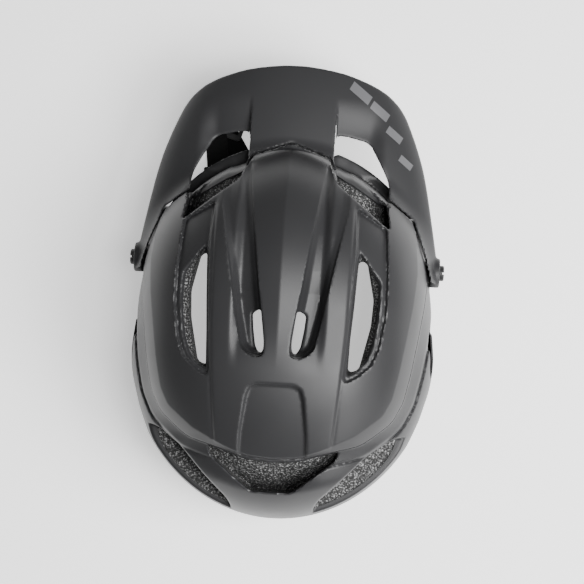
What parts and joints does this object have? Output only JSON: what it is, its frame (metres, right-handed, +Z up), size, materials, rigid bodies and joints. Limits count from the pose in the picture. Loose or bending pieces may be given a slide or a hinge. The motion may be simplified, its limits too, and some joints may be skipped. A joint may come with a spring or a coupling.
{
  "type": "cycling helmet",
  "caption": "Open-face trail cycling helmet with a vented two-part shell, a tilting visor, foam liner, pads, dial-adjusted head cradle and unbuckled straps, standing on its rim.",
  "frame": {"origin": "middle of the bounding box, on the surface that the rim stands on", "axes": "+Z up, the visor points to -Y, the wearer's left is +X"},
  "size_m": [0.223, 0.3152, 0.178],
  "materials": {
    "shell": "satin black polycarbonate",
    "visor": "matte black moulded plastic",
    "foam": "black beaded foam with a fine light speckle",
    "webbing": "black woven polyester",
    "padding": "dark brushed knit over soft foam",
    "black_nylon": "black moulded nylon with a fine texture",
    "acetal": "grey acetal",
    "steel": "plain steel",
    "brass": "machined brass"
  },
  "bodies": {
    "helmet": {"upper_shell": "shell", "lower_shell": "shell", "eps_liner": "foam", "front_strap_left": "webbing", "front_strap_right": "webbing", "rear_strap_left": "webbing", "rear_strap_right": "webbing", "chin_strap_left": "webbing", "chin_strap_right": "webbing", "chin_strap_tail": "webbing", "brow_pad": "padding", "crown_pad": "padding", "side_pad_left": "padding", "side_pad_right": "padding", "rear_pad_left": "padding", "rear_pad_right": "padding", "height_rail": "black_nylon", "strap_divider_left": "black_nylon", "strap_divider_right": "black_nylon", "buckle_plug": "black_nylon", "buckle_socket": "black_nylon", "strap_keeper": "black_nylon", "front_strap_anchor_left": "black_nylon", "front_strap_anchor_right": "black_nylon", "rear_strap_anchor_left": "black_nylon", "rear_strap_anchor_right": "black_nylon", "pivot_boss_left": "black_nylon", "pivot_boss_right": "black_nylon", "visor_screw_left": "black_nylon", "visor_screw_right": "black_nylon", "visor_insert_left": "brass", "visor_insert_right": "brass"},
    "visor_assembly": {"visor": "visor", "visor_bush_left": "acetal", "visor_bush_right": "acetal"},
    "cradle": {"cradle_case": "black_nylon", "cradle_cover": "black_nylon", "cradle_screws": "steel", "nape_pad_left": "padding", "nape_pad_right": "padding"},
    "dial": {"dial_knob": "black_nylon", "dial_pinion": "acetal"},
    "arm_left": {"arm_left": "black_nylon"},
    "arm_right": {"arm_right": "black_nylon"},
    "lever_left": {"divider_lever_left": "black_nylon"},
    "lever_right": {"divider_lever_right": "black_nylon"}
  },
  "joints": [
    {"name": "visor_tilt", "type": "hinge", "parent": "helmet", "child": "visor_assembly", "pos_m": [0, -0.02, 0.08], "axis": [1, 0, 0], "range_deg": [0, 10]},
    {"name": "cradle_height", "type": "slide", "parent": "helmet", "child": "cradle", "axis": [0, 0, 1], "range_m": [0, 0.01]},
    {"name": "dial_turn", "type": "hinge", "parent": "cradle", "child": "dial", "pos_m": [0, 0.1188, 0.025], "axis": [0, 1, 0], "range_deg": [0, 100]},
    {"name": "arm_left_slide", "type": "slide", "parent": "cradle", "child": "arm_left", "axis": [1, 0, 0], "range_m": [0, 0.0079]},
    {"name": "arm_right_slide", "type": "slide", "parent": "cradle", "child": "arm_right", "axis": [-1, 0, 0], "range_m": [0, 0.0079]},
    {"name": "lever_left_open", "type": "hinge", "parent": "helmet", "child": "lever_left", "pos_m": [0.01913, -0.06304, 0.0071], "axis": [-0.8461, -0.5331, 0], "range_deg": [0, 80]},
    {"name": "lever_right_open", "type": "hinge", "parent": "helmet", "child": "lever_right", "pos_m": [-0.0725, 0.026, 0.0165], "axis": [0, -1, 0], "range_deg": [0, 80]}
  ],
  "couplings": [
    {"joint": "arm_left_slide", "follows": "dial_turn", "m_per_rad": 0.0045},
    {"joint": "arm_right_slide", "follows": "dial_turn", "m_per_rad": 0.0045}
  ]
}
